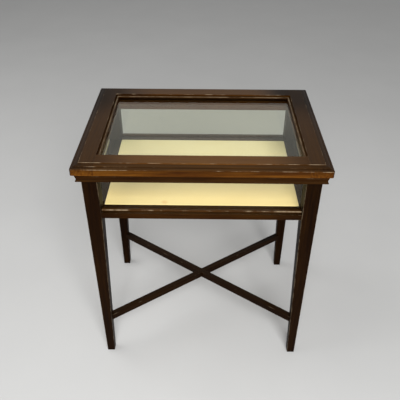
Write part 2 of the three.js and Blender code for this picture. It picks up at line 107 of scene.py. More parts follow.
class Signal:
    # an output socket, so that shader sums read as plain sums
    def __init__(self, maker, socket):
        self.maker = maker
        self.socket = socket

    def calc(self, operation, *others):
        return self.maker.node("ShaderNodeMath", {"operation": operation}, [self, *others])

    def calcFrom(self, operation, first):
        return self.maker.node("ShaderNodeMath", {"operation": operation}, [first, self])

    def __add__(self, other):
        return self.calc("ADD", other)

    def __sub__(self, other):
        return self.calc("SUBTRACT", other)

    def __rsub__(self, other):
        return self.calcFrom("SUBTRACT", other)

    def __mul__(self, other):
        return self.calc("MULTIPLY", other)

    def __truediv__(self, other):
        return self.calc("DIVIDE", other)

    def __rtruediv__(self, other):
        return self.calcFrom("DIVIDE", other)

    def __pow__(self, other):
        return self.calc("POWER", other)

    def __neg__(self):
        return self.calc("MULTIPLY", -1)

    __radd__ = __add__
    __rmul__ = __mul__

    def rise(self, low, high):  # 0 below low, 1 above high, smooth between
        settings = {"interpolation_type": "SMOOTHSTEP"}
        return self.maker.node("ShaderNodeMapRange", settings, [self, low, high, 0, 1])


class Nodes:
    # adds nodes to one tree
    def __init__(self, tree):
        self.tree = tree
        tree.nodes.clear()

    def node(self, kind, settings=None, inputs=(), output=0):
        made = self.tree.nodes.new(kind)
        for key, value in (settings or {}).items():
            setattr(made, key, value)
        pairs = inputs.items() if isinstance(inputs, dict) else enumerate(inputs)
        for key, value in pairs:
            if isinstance(value, Signal):
                self.tree.links.new(value.socket, made.inputs[key])
            else:
                made.inputs[key].default_value = value
        return Signal(self, made.outputs[output]) if len(made.outputs) else None


class Finish(Nodes):
    # a material, or the world, under construction
    def __init__(self, name, kind="materials"):
        self.data = getattr(bpy.data, kind).new(name)
        self.data.use_nodes = True
        super().__init__(self.data.node_tree)

    def attribute(self, name, output="Fac"):
        return self.node("ShaderNodeAttribute", {"attribute_name": name}, output=output)

    def place(self):
        return self.node("ShaderNodeTexCoord", output="Object")

    def scaled(self, vector, sizes):
        return self.node("ShaderNodeVectorMath", {"operation": "MULTIPLY"}, [vector, sizes])

    def noise(self, vector, scale=1.0, detail=2.0, roughness=0.5, distortion=0.0):
        values = {"Vector": vector, "Scale": scale, "Detail": detail, "Roughness": roughness,
                  "Distortion": distortion}
        return self.node("ShaderNodeTexNoise", inputs=values)

    def parts(self, vector):
        split = self.node("ShaderNodeSeparateXYZ", inputs=[vector])
        return [Signal(self, socket) for socket in split.socket.node.outputs]

    def mix(self, first, second, factor):
        settings = {"data_type": "RGBA", "clamp_factor": True}
        return self.node("ShaderNodeMix", settings, {0: factor, 6: first, 7: second}, output=2)

    def dim(self, colour, factor):
        return self.node("ShaderNodeVectorMath", {"operation": "SCALE"}, {0: colour, "Scale": factor})

    def bump(self, height, strength, distance):
        values = {"Strength": strength, "Distance": distance, "Height": height}
        return self.node("ShaderNodeBump", inputs=values)

    def surface(self, values):
        return self.output(self.node("ShaderNodeBsdfPrincipled", inputs=values))

    def output(self, shader, kind="ShaderNodeOutputMaterial"):
        self.node(kind, inputs={"Surface": shader})
        return self.data


def tint(red, green, blue):
    return (red, green, blue, 1.0)


polish = {
    "dark": tint(0.034, 0.0088, 0.0012),
    "middle": tint(0.080, 0.0260, 0.0024),
    "light": tint(0.150, 0.056, 0.0060),
    # pale colour of wear, also used as a painted highlight on arrises and crests
    "wearAndHighlight": tint(0.23, 0.175, 0.110),
    # paler colour on surfaces that face up, a painted sheen
    "paintedTopSheen": tint(0.100, 0.053, 0.019),
    "quirkDarkening": tint(0.008, 0.005, 0.003),
    "wander": (2.4, 7, 7),  # patches to a metre along the grain, across it and into it
    "figure": (5, 30, 30),
    "streak": (7, 210, 210),
    "fleck": (30, 900, 900),
    "pore": (110, 2600, 2600),
    "ring": 0.0085,  # metres from one growth ring to the next
    "coatRoughness": 0.12,
    "specular": 0.03,
    "backCornerShade": 0.65,  # share of its colour that wood facing up loses at the back corners, as painted shade
    "relief": 0.00018,
}


def polishedWood(name, wearAndHighlightShare, gloss, coatIor):
    # a low coat IOR is an old wax polish: dark seen square on, bright at a slant
    make = Finish(name)
    grain = make.attribute("grain", "Vector")
    edge, tone, facingUp = (make.attribute(key) for key in ("edge", "tone", "facingUp"))
    x, y, _ = make.parts(make.place())
    wide = x.calc("ABSOLUTE")
    # the back corners, where wood facing up is painted darker (painted shade) and its coat is thinner
    corner = (wide + x * 0.1).rise(0.19, 0.26) * y.rise(0.0, 0.14)  # the two at the back
    flank = wide.rise(0.2, 0.27)
    handled = (-y).rise(0.175, 0.205) * wide.rise(0.06, 0.25)  # the front, more so at its ends
    _, across, deep = make.parts(grain)

    def pattern(key, **values):
        return make.noise(make.scaled(grain, polish[key]), **values)

    wander = pattern("wander") - 0.5
    radius = ((across + wander * 0.03) ** 2 + (deep + wander * 0.02) ** 2) ** 0.5
    rings = (radius * (2 * math.pi / polish["ring"])).calc("SINE") * 0.5 + 0.5
    figure = pattern("figure", detail=3.0, distortion=0.6)
    streak = pattern("streak", detail=4.0, roughness=0.62)
    fleck = pattern("fleck", detail=3.0, roughness=0.7)
    pores = pattern("pore", detail=1.0).rise(0.6, 0.72)
    lightness = streak * 0.55 + fleck * 0.3 + figure * 0.35 + rings * 0.05
    body = make.mix(polish["dark"], polish["middle"], lightness.rise(0.42, 0.68))
    body = make.mix(body, polish["light"], lightness.rise(0.60, 0.84) * 0.8)
    body = make.mix(body, polish["dark"], pores * 0.6)
    # paler and yellower where the surface faces up: a painted sheen
    body = make.mix(body, polish["paintedTopSheen"], facingUp * (0.35 + lightness * 0.3))
    body = make.dim(body, tone * (1 - corner * facingUp * polish["backCornerShade"]))
    rub = make.noise(make.place(), scale=34.0, detail=4.0, roughness=0.65)
    # partly real wear, partly a painted highlight along arrises, crests and the lid's front
    wearAndHighlight = (edge + rub * 2.2 + handled * 0.3 - 2.08).rise(0.0, 0.5) * wearAndHighlightShare
    body = make.mix(body, polish["wearAndHighlight"], wearAndHighlight)
    # darker in quirks and hollows, where edge is below zero
    quirkDarkening = (-edge).rise(0.25, 1.0) * (rub * 0.5 + 0.6)
    body = make.mix(body, polish["quirkDarkening"], quirkDarkening)
    dull = make.noise(make.place(), scale=9.0, detail=3.0).rise(0.35, 0.7)
    coat = gloss * (1 - wearAndHighlight * 0.5) * (1 - quirkDarkening * 0.8) * (0.65 + dull * 0.35)
    coat = coat * (1 - corner * 0.4) * (1 - flank * 0.45) * (0.5 + facingUp * 0.5)
    relief = streak * 0.4 + fleck * 0.3 - pores * 0.8 + rub * 0.25
    return make.surface({
        "Base Color": body,
        "Roughness": 0.45 + streak * 0.1 + dull * 0.06 + wearAndHighlight * 0.1,
        "Coat Weight": coat,
        "Coat Roughness": polish["coatRoughness"],
        "Coat IOR": coatIor,
        "Specular IOR Level": polish["specular"],
        "Normal": make.bump(relief, 0.35, polish["relief"]),
    })


lidWood = polishedWood("mahogany_lid", wearAndHighlightShare=0.85, gloss=0.36, coatIor=1.2)
caseWood = polishedWood("mahogany_case", wearAndHighlightShare=0.5, gloss=0.3, coatIor=1.15)
legWood = polishedWood("mahogany_legs", wearAndHighlightShare=0.3, gloss=0.4, coatIor=1.15)
beadWood = polishedWood("mahogany_beads", wearAndHighlightShare=0.8, gloss=0.8, coatIor=1.3)


pine = {
    "dark": tint(0.30, 0.19, 0.09),
    "light": tint(0.46, 0.32, 0.17),
    "stain": tint(0.16, 0.10, 0.055),
}


def bareWood(name):
    make = Finish(name)
    grain = make.attribute("grain", "Vector")
    streak = make.noise(make.scaled(grain, (4, 120, 120)), detail=4.0, roughness=0.6)
    figure = make.noise(make.scaled(grain, (2, 16, 16)), detail=2.0, distortion=1.2)
    stain = make.noise(make.place(), scale=7.0, detail=4.0).rise(0.5, 0.75)
    body = make.mix(pine["dark"], pine["light"], (streak * 0.6 + figure * 0.5).rise(0.35, 0.8))
    body = make.mix(body, pine["stain"], stain * 0.5)
    return make.surface({
        "Base Color": body,
        "Roughness": 0.72 + streak * 0.16,
        "Normal": make.bump(streak, 0.4, 0.0002),
    })


baseWood = bareWood("bare_pine")


lining = {
    "colour": tint(0.94, 0.80, 0.45),
    "pale": tint(0.95, 0.83, 0.50),
    "foxing": tint(0.62, 0.40, 0.15),
    "stain": tint(0.76, 0.42, 0.16),
    "stainPlace": (-0.096, -0.158, 0.546),
    "stainReach": 0.011,
    # painted shadow in the corners
    "corners": tint(0.60, 0.53, 0.27),
    "aged": tint(0.84, 0.60, 0.245),  # along the front, where the sun comes in
    "thread": 0.0007,
}


def liningCloth(name):
    make = Finish(name)
    place = make.place()
    x, y, _ = make.parts(place)
    warp = (x * (2 * math.pi / lining["thread"])).calc("SINE")
    weft = (y * (2 * math.pi / lining["thread"])).calc("SINE")
    weave = warp * weft
    soft = make.noise(place, scale=6.0, detail=3.0)
    mottle = make.noise(place, scale=38.0, detail=4.0, roughness=0.6)
    spots = make.noise(place, scale=120.0, detail=2.0).rise(0.7, 0.8)
    body = make.mix(lining["colour"], lining["pale"], (soft * 0.6 + mottle * 0.5).rise(0.35, 0.75))
    body = make.mix(body, lining["foxing"], spots * 0.22)
    # darker and greener towards the side corners: painted shadow of the lid's frame
    corner = x.calc("ABSOLUTE").rise(0.16, 0.255) * y.calc("ABSOLUTE").rise(0.05, 0.17)
    body = make.mix(body, lining["corners"], corner * 0.6)
    body = make.mix(body, lining["aged"], (-y).rise(-0.02, 0.14) * (0.4 + soft * 0.5))
    offset = make.node("ShaderNodeVectorMath", {"operation": "SUBTRACT"}, [place, lining["stainPlace"]])
    away = make.node("ShaderNodeVectorMath", {"operation": "LENGTH"}, [offset], output="Value")
    blot = 1 - (away / lining["stainReach"] + (mottle - 0.5) * 1.2).rise(0.25, 1.0)
    body = make.mix(body, lining["stain"], blot * 0.5)
    return make.surface({
        "Base Color": body,
        "Roughness": 0.93 - weave * 0.03,
        "Sheen Weight": 0.25,
        "Sheen Roughness": 0.5,
        "Normal": make.bump(weave * 0.5 + mottle, 0.25, 0.00015),
    })


creamCloth = liningCloth("cream_lining")


glazing = {
    "tint": tint(0.974, 0.984, 0.958),
    "deepTint": tint(0.60, 0.60, 0.47),  # along the glass, where the way through it is long
    "shine": tint(0.97, 0.96, 0.87),
    "headOn": 0.018,  # share reflected when seen square on
    "smear": 0.008,
    "roughness": 0.015,
}


def oldGlass(name):
    make = Finish(name)
    place = make.place()
    wave = make.noise(place, scale=9.0, detail=1.0)
    smear = make.noise(make.scaled(place, (5, 9, 14)), detail=4.0, roughness=0.65).rise(0.5, 0.8)
    ripple = make.bump(wave, 0.12, 0.004)
    slant = make.node("ShaderNodeLayerWeight", inputs={"Blend": 0.5, "Normal": ripple}, output="Facing")
    thin = make.node("ShaderNodeBsdfTransparent", inputs={"Color": glazing["tint"]})
    deep = make.node("ShaderNodeBsdfTransparent", inputs={"Color": glazing["deepTint"]})
    clear = make.node("ShaderNodeMixShader", inputs=[slant ** 3, thin, deep])
    shine = make.node("ShaderNodeBsdfPrincipled", inputs={
        "Base Color": glazing["shine"],
        "Metallic": 1.0,
        "Roughness": glazing["roughness"] + smear * 0.12,
        "Normal": ripple,
    })
    share = slant ** 5 * (1 - glazing["headOn"]) + glazing["headOn"] + smear * glazing["smear"]
    return make.output(make.node("ShaderNodeMixShader", inputs=[share, clear, shine]))


glass = oldGlass("old_glass")


metals = {
    "brass": tint(0.52, 0.36, 0.13),
    "dullBrass": tint(0.25, 0.15, 0.055),
    "tarnish": tint(0.06, 0.04, 0.02),
    "steel": tint(0.12, 0.11, 0.10),
    "rust": tint(0.16, 0.06, 0.025),
}


def agedBrass(name):
    make = Finish(name)
    place = make.place()
    cloud = make.noise(place, scale=260.0, detail=4.0, roughness=0.6)
    patch = make.noise(place, scale=70.0, detail=3.0).rise(0.4, 0.7)
    body = make.mix(metals["brass"], metals["dullBrass"], cloud.rise(0.35, 0.75))
    body = make.mix(body, metals["tarnish"], patch * 0.4)
    return make.surface({
        "Base Color": body,
        "Metallic": 1.0 - patch * 0.35,
        "Roughness": 0.3 + cloud * 0.3,
        "Normal": make.bump(cloud, 0.2, 0.0001),
    })


brass = agedBrass("aged_brass")


def darkSteel(name):
    make = Finish(name)
    rust = make.noise(make.place(), scale=400.0, detail=4.0).rise(0.4, 0.65)
    return make.surface({
        "Base Color": make.mix(metals["steel"], metals["rust"], rust),
        "Metallic": 1.0 - rust * 0.8,
        "Roughness": 0.4 + rust * 0.4,
    })


steel = darkSteel("pin_steel")
print("materials made")


# Mesh helpers. A section is a closed outline of (across, up, edge) points, where edge is about 1 on an
# arris, which gets the pale colour of wear and of a painted highlight, -1 in a quirk, which is painted
# darker, and 0 on plain faces.

rounding = {
    "steps": 3,  # chords that turn a corner
    "spread": 2.4,  # millimetres from an arris to where its wear runs out
    "share": 0.45,  # of a face, that one corner may take up
    "apart": 0.02,  # points closer than this are one
}


def softened(corners, spread=rounding["spread"]):
    # corners are (across, up, radius, edge); one with neither radius nor edge stays as it is
    outline = []
    steps, share = rounding["steps"], rounding["share"]
    for i, (across, up, radius, edge) in enumerate(corners):
        here = Vector((across, up))
        if radius == 0 and edge == 0:
            outline.append((across, up, 0.0))
            continue
        back = Vector(corners[i - 1][:2]) - here
        ahead = Vector(corners[(i + 1) % len(corners)][:2]) - here
        half = back.angle(ahead) / 2
        cut = min(radius / math.tan(half), back.length * share, ahead.length * share)
        start, end = (here + arm.normalized() * cut for arm in (back, ahead))
        corner = []
        for step in range(steps + 1):
            t = step / steps
            spot = start * (1 - t) ** 2 + here * (2 * t * (1 - t)) + end * t ** 2
            corner.append((spot.x, spot.y, edge))
        plain = []
        for arm in (back, ahead):
            reach = min(cut + spread, arm.length * 0.5)
            far = here + arm.normalized() * reach
            plain.append([(far.x, far.y, 0.0)] if reach > cut * 1.1 else [])
        outline += plain[0] + corner + plain[1]
    return [spot for i, spot in enumerate(outline)
            if math.dist(spot[:2], outline[i - 1][:2]) > rounding["apart"]]


def loft(rings):
    # rings are lists of (x, y, z, edge) with as many points each
    made = bmesh.new()
    edgeLayer = made.verts.layers.float.new("edge")
    rows = []
    for ring in rings:
        row = []
        for x, y, z, edge in ring:
            vert = made.verts.new((x, y, z))
            vert[edgeLayer] = edge
            row.append(vert)
        rows.append(row)
    count = len(rows[0])
    for low, high in zip(rows, rows[1:]):
        for i in range(count):
            j = (i + 1) % count
            made.faces.new((low[i], low[j], high[j], high[i]))
    made.faces.new(reversed(rows[0]))
    made.faces.new(rows[-1])
    bmesh.ops.recalc_face_normals(made, faces=made.faces)
    return made


def bar(section, lowEnd, highEnd, between=0):
    # along X; each end is a function of (across, up)
    rings = []
    for step in range(between + 2):
        share = step / (between + 1)
        ring = []
        for across, up, edge in section:
            low, high = lowEnd(across, up), highEnd(across, up)
            ring.append((low + (high - low) * share, across, up, edge))
        rings.append(ring)
    return loft(rings)


def meshFrom(name, made):
    mesh = bpy.data.meshes.new(name)
    made.to_mesh(mesh)
    made.free()
    return mesh


def smoothed(mesh, sharp):
    mesh.polygons.foreach_set("use_smooth", [True] * len(mesh.polygons))
    mesh.set_sharp_from_angle(angle=math.radians(sharp))


grainStarts = ((0.5, 3.0), (0.02, 0.12), (0.03, 0.16))  # in metres; no two pieces are cut alike


def settle(name, made, turn, body, nodes, material, tone=1.0, grainAxes=(0, 1, 2), sharp=34):
    # turn takes the piece's own millimetres to the frame's; grainAxes says which of them the grain follows
    mesh = meshFrom(name, made)
    if "edge" not in mesh.attributes:
        mesh.attributes.new("edge", "FLOAT", "POINT")
    dice = random.Random(name)
    shift = [dice.uniform(*reach) for reach in grainStarts]
    mesh.attributes.new("grain", "FLOAT_VECTOR", "POINT")
    mesh.attributes.new("tone", "FLOAT", "POINT")
    mesh.attributes.new("facingUp", "FLOAT", "POINT")  # how far the surface faces up
    grain, tones, facingUpValues = (mesh.attributes[key].data for key in ("grain", "tone", "facingUp"))
    for vert in mesh.vertices:
        own = vert.co.copy()
        grain[vert.index].vector = [own[axis] * mm + move for axis, move in zip(grainAxes, shift)]
        tones[vert.index].value = tone(own) if callable(tone) else tone
    mesh.transform(Matrix.Scale(mm, 4) @ turn)
    if turn.determinant() < 0:
        mesh.flip_normals()
    for vert in mesh.vertices:
        facingUpValues[vert.index].value = max(0.0, vert.normal.z)
    smoothed(mesh, sharp)
    mesh.materials.append(material)
    piece = linked(name, mesh)
    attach(piece, body)
    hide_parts(*nodes)


def settleWood(node, made, turn, body, material, tone, grainAxes=(0, 1, 2)):
    settle(node + "_wood", made, turn, body, [node], material, tone, grainAxes)


def glaze(node):
    # the pane is the solid itself
    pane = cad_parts[node]
    pane.data.materials.clear()
    pane.data.materials.append(glass)


def cadCopy(node, bevel):
    # the solid's own mesh, merged, with its hard edges bevelled
    made = bmesh.new()
    made.from_mesh(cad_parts[node].data)
    made.transform(Matrix.Scale(1 / mm, 4))
    bmesh.ops.remove_doubles(made, verts=made.verts, dist=0.002)
    bmesh.ops.dissolve_limit(made, angle_limit=math.radians(1), verts=made.verts, edges=made.edges)
    hard = [edge for edge in made.edges
            if edge.is_manifold and edge.calc_face_angle(0) > math.radians(40)]
    bmesh.ops.bevel(made, geom=hard, offset=bevel, segments=2, profile=0.6, affect="EDGES",
                    clamp_overlap=True)
    return made


def combined(first, second, operation):
    # one closed shape from two, with no face left inside
    pair = [linked("shape", meshFrom("shape", made)) for made in (first, second)]
    modifier = pair[0].modifiers.new("combine", "BOOLEAN")
    modifier.operation = operation
    modifier.solver = "MANIFOLD"
    modifier.object = pair[1]
    graph = bpy.context.evaluated_depsgraph_get()
    result = bpy.data.meshes.new_from_object(pair[0].evaluated_get(graph))
    merged = bmesh.new()
    merged.from_mesh(result)
    for shape in pair:
        bpy.data.objects.remove(shape)
    bpy.data.meshes.remove(result)
    return merged


def blend(before, after, place, low, high):
    # one tone below low, the other above high, and a soft change between
    share = min(max((place - low) / (high - low), 0.0), 1.0)
    return before + (after - before) * share * share * (3 - 2 * share)


def facing(quarterTurns, shift=(0, 0, 0)):
    return Matrix.Rotation(quarterTurns * math.pi / 2, 4, "Z") @ Matrix.Translation(shift)


# Legs: square down to the case's foot, then tapered on the two inner faces

legs = {
    "arris": 0.7,
    "footArris": 1.0,
    "spread": 2.8,
    "foot": 21.8,
    "bevel": 1.2,
    "taperTop": bottomLow[2] - 1,
    "heights": (60, 149, 260, 380, 470),
    "band": 12,
    "tone": 0.11,
    "endGrainTone": 0.4,  # on top, under the lid
}


def legRing(z, side, arris, inset=0.0):
    corners = [(inset, inset), (side - inset, inset), (side - inset, side - inset), (inset, side - inset)]
    section = softened([(x, y, arris, 1.0) for x, y in corners], spread=legs["spread"])
    return [(x, y, z, edge) for x, y, edge in section]


def legSideAt(z):
    # how wide the leg is at a height on its taper
    foot, bevel = legs["foot"], legs["bevel"]
    return foot + (legSide - foot) * (z - bevel) / (legs["taperTop"] - bevel)


def addLegs():
    foot, bevel, arris, top = legs["foot"], legs["bevel"], legs["arris"], legs["taperTop"]
    rings = [legRing(0, foot, legs["footArris"], bevel), legRing(bevel, foot, arris)]
    rings += [legRing(z, legSideAt(z), arris) for z in legs["heights"]]
    bandTop = caseTop - legs["band"]
    rings += [legRing(z, legSide, arris) for z in (top, top + legs["band"], bandTop, caseTop)]

    def legTone(spot):
        return blend(legs["tone"], legs["endGrainTone"], spot.z, bandTop, caseTop)

    for end, sideY in (("front", -1), ("back", 1)):
        for hand, sideX in (("left", -1), ("right", 1)):
            name = f"leg_{end}_{hand}"
            mirror = Matrix.Diagonal((-sideX, -sideY, 1, 1))
            turn = Matrix.Translation((sideX * caseHalfWidth, sideY * caseHalfDepth, 0)) @ mirror
            settleWood(name, loft(rings), turn, "case", legWood, legTone, (2, 0, 1))


addLegs()
print("legs made")


# Case sides. Each is made facing front, with its outer plane at y = 0, and turned to its place.

sides = {
    "front": (0, caseHalfWidth - legSide, caseHalfDepth),
    "right": (1, caseHalfDepth - legSide, caseHalfWidth),
    "back": (2, caseHalfWidth - legSide, caseHalfDepth),
    "left": (3, caseHalfDepth - legSide, caseHalfWidth),
}
rails = {
    "setback": topLow[1] + caseHalfDepth,
    "arris": 0.6,
    "groove": 5.0,
    "groovePlay": 0.3,
    "boardRebate": (6.0, 10.0),
    "endGap": 0.15,
    "topTone": 0.6,
    "bottomTone": 0.3,
    "bottomEndTone": 0.13,
    "endFade": 110,
}
beads = {
    "width": 8.2,
    "height": 4.5,
    "round": 3.6,
    "gap": 0.3,
    "tone": 0.4,
}


def grooveWalls():
    front = paneLow[1] + caseHalfDepth - rails["groovePlay"]
    back = paneHigh[1] + caseHalfDepth + rails["groovePlay"]
    return front, back


def topRailSection():
    low, high = topLow[2], topHigh[2]
    front, back = grooveWalls()
    floor = low + rails["groove"]
    arris = rails["arris"]
    return softened([
        (rails["setback"], low, arris, 0.7),
        (front, low, 0, 0),
        (front, floor, 0, 0),
        (back, floor, 0, 0),
        (back, low, 0.3, 0.4),
        (legSide, low, arris, 0.9),
        (legSide, high, arris, 0.6),
        (rails["setback"], high, arris, 0.5),
    ])


def bottomRailSection():
    low, high = bottomLow[2], bottomHigh[2]
    front, back = grooveWalls()
    floor = high - rails["groove"]
    arris = rails["arris"]
    rebateWidth, rebateHeight = rails["boardRebate"]
    return softened([
        (rails["setback"], low, arris, 0.8),
        (legSide - rebateWidth, low, arris, 0.5),
        (legSide - rebateWidth, low + rebateHeight, 0, 0),
        (legSide, low + rebateHeight, 0, 0),
        (legSide, high, 0.4, 0.7),
        (back, high, 0.3, 0.5),
        (back, floor, 0, 0),
        (front, floor, 0, 0),
        (front, high, 0, 0),
        (rails["setback"], high, arris, 0.6),
    ])


def beadSection():
    # flat on its seat, quarter round towards the outside
    width, height, turn = beads["width"], beads["height"], beads["round"]
    points = [(0, 0, 0.0), (width, 0, 0.0), (width, height, 0.0)]
    steps = 6
    for step in range(steps + 1):
        angle = math.pi / 2 * (1 + step / steps)
        edge = -0.6 if step == steps else 1.02 if step > 1 else 0.0  # the nose is painted pale: a painted highlight line
        points.append((turn + turn * math.cos(angle), height - turn + turn * math.sin(angle), edge))
    return points


def addCaseSides():
    beadFront = paneLow[1] + caseHalfDepth - beads["gap"] - beads["width"]
    for side, (turns, clear, out) in sides.items():
        turn = facing(turns, (0, -out, 0))
        reach = clear - rails["endGap"]
        ends = (lambda a, u, r=reach: -r, lambda a, u, r=reach: r)

        def bottomTone(spot, r=reach):
            return blend(rails["bottomTone"], rails["bottomEndTone"], abs(spot.x), r - rails["endFade"], r)

        settleWood(f"top_rail_{side}", bar(topRailSection(), *ends), turn, "case", caseWood,
                   rails["topTone"])
        bottomWood = beadWood if side == "back" else caseWood  # the back one is as glossy as the beads
        settleWood(f"bottom_rail_{side}", bar(bottomRailSection(), *ends, between=9), turn, "case",
                   bottomWood, bottomTone)
        seat = turn @ Matrix.Translation((0, beadFront, bottomHigh[2] + beads["gap"]))
        settleWood(f"pane_bead_{side}", bar(beadSection(), *ends), seat, "case", beadWood, beads["tone"])
        glaze(f"pane_{side}")


addCaseSides()
print("case sides made")


# Frieze moulding under the lid on the front and sides, mitred at the front corners

frieze = {
    "height": 23.4,
    "proud": 11.2,
    "fillet": 7.0,
    "cove": 2.4,
    "bead": 2.5,
    "quirk": 1.8,
    "beadArc": (0.29, 0.46),  # where the bead's round starts and how far it goes, in whole turns
    "steps": 8,
    "gap": 0.3,
    "tone": 0.29,
}


def friezeSection():
    height, proud, bead, steps = frieze["height"], frieze["proud"], frieze["bead"], frieze["steps"]
    base = height - frieze["fillet"]
    foot = 2 * bead + frieze["quirk"]
    points = [(0, 0, 0.0), (0, height, 0.0)]
    points += softened([(0, height, 0, 0), (-proud, height, 0.5, 0.6), (-proud, base, 0.4, 0.9),
                        (-proud + 1.0, base - 0.5, 0, 0)])[1:-1]
    for step in range(1, steps + 1):
        t = step / steps
        edge = -0.9 if step == steps else 0.0
        points.append((frieze["cove"] * math.sin(t * math.pi / 2) - proud, base + (foot - base) * t, edge))
    centre = bead - proud
    start, turn = frieze["beadArc"]
    for step in range(steps + 1):
        angle = 2 * math.pi * (start + turn * step / steps)
        edge = 0.45 if 2 <= step <= 5 else 0.0
        points.append((centre + bead * math.cos(angle), bead + bead * math.sin(angle), edge))
    return points


def addFrieze():
    section = friezeSection()
    half = frieze["gap"] / 2
    mitred = {"front": (True, True), "right": (True, False), "left": (False, True)}
    for side, (lowMitre, highMitre) in mitred.items():
        turns, clear, out = sides[side]
        along = clear + legSide
        low = (lambda a, u, r=along: a - r - half) if lowMitre else (lambda a, u, r=along: -r)
        high = (lambda a, u, r=along: r + half - a) if highMitre else (lambda a, u, r=along: r)
        spot = facing(turns, (0, -out - frieze["gap"], caseTop - frieze["height"]))
        settleWood(f"frieze_moulding_{side}", bar(section, low, high), spot, "case", caseWood,
                   frieze["tone"])


addFrieze()
print("frieze made")


# Case bottom: the pinned base board, and the cloth-covered board that things lie on

boards = {
    "baseArris": 0.4,
    "liningArris": 1.6,
    "cornerReach": 0.8,
    "puff": 0.105,  # how far the cloth rises and sinks
    "waves": (9.1, 7.3, 17, 11),
    "phases": (0.37, 1.91, 4.4),
    "waveFade": 12,  # the waves die out in the outer twelfth
    "cells": 60,
    "pinSpacing": 62.0,
    "pinInset": 3.2,
    "pinHead": 1.1,
    "pinProud": 0.35,
    "pinSides": 10,
    "pinSeed": 1,
}


def addBaseBoard():
    settle("base_board_wood", cadCopy("base_board", boards["baseArris"]), Matrix.Identity(4), "case",
           ["base_board"], baseWood)


def addLining():
    # an uneven grid with its rim turned down over the board
    (x0, y0, z0), (x1, y1, z1) = boardLow, boardHigh
    cells, arris, puff = boards["cells"], boards["liningArris"], boards["puff"]
    made = bmesh.new()
    phases = Vector(boards["phases"])
    waveU, waveV, fineU, fineV = boards["waves"]

    def rise(u, v):
        wave = math.sin(u * waveU + phases.x) * math.sin(v * waveV + phases.y)
        wave += 0.5 * math.sin(u * fineU + v * fineV + phases.z)
        away = min(u, 1 - u, v, 1 - v)
        return puff * wave * min(1, away * boards["waveFade"])

    grid = []
    for i in range(cells + 1):
        row = []
        for j in range(cells + 1):
            u, v = i / cells, j / cells
            x = x0 + arris + (x1 - x0 - 2 * arris) * u
            y = y0 + arris + (y1 - y0 - 2 * arris) * v
            row.append(made.verts.new((x, y, z1 - puff + rise(u, v))))
        grid.append(row)
    for i in range(cells):
        for j in range(cells):
            made.faces.new((grid[i][j], grid[i + 1][j], grid[i + 1][j + 1], grid[i][j + 1]))
    rim = [grid[i][0] for i in range(cells)] + [grid[cells][j] for j in range(cells)]
    rim += [grid[i][cells] for i in range(cells, 0, -1)] + [grid[0][j] for j in range(cells, 0, -1)]
    previous = rim
    for turn in (30, 60, 90):
        angle = math.radians(turn)
        previous = addRim(made, previous, rim, arris * math.sin(angle), arris * (1 - math.cos(angle)))
    previous = addRim(made, previous, rim, arris, z1 - z0 - puff)
    made.faces.new(previous)
    bmesh.ops.recalc_face_normals(made, faces=made.faces)
    settle("display_board_lining", made, Matrix.Identity(4), "case", ["display_board"],
           creamCloth, sharp=60)


def addRim(made, previous, rim, out, down):
    # one more row of faces, whose far side lies out from the grid's rim and down
    (x0, y0, _), (x1, y1, _) = boardLow, boardHigh
    arris = boards["liningArris"]
    centre = Vector(((x0 + x1) / 2, (y0 + y1) / 2))
    fresh = []
    for vert in rim:
        x, y, z = vert.co
        atX = abs(abs(x - centre.x) - ((x1 - x0) / 2 - arris)) < 0.01
        atY = abs(abs(y - centre.y) - ((y1 - y0) / 2 - arris)) < 0.01
        moveX = math.copysign(out, x - centre.x) if atX else 0
        moveY = math.copysign(out, y - centre.y) if atY else 0
        if atX and atY:
            moveX, moveY = moveX * boards["cornerReach"], moveY * boards["cornerReach"]
        fresh.append(made.verts.new((x + moveX, y + moveY, z - down)))
    count = len(rim)
    for i in range(count):
        j = (i + 1) % count
        made.faces.new((previous[i], previous[j], fresh[j], fresh[i]))
    return fresh


addBaseBoard()
addLining()
print("case bottom made")


# Stretchers: scribed to the legs and halved where they cross

stretchers = {
    "width": 16.5,
    "height": 20.0,
    "top": 149.0,
    "arris": 0.8,
    "spread": 2.0,
    "gap": 0.15,
    "tone": 0.115,
}


def stretcherSection(offset):
    # offset is how far from the bar's middle line the leg's arris meets it at each end
    half, arris = stretchers["width"] / 2, stretchers["arris"]
    top = stretchers["top"]
    low = top - stretchers["height"]
    return softened([
        (-half, low, arris, 0.7), (-offset, low, 0, 0), (offset, low, 0, 0), (half, low, arris, 0.7),
        (half, top, arris, 0.9), (offset, top, 0, 0), (-offset, top, 0, 0), (-half, top, arris, 0.9),
    ], spread=stretchers["spread"])


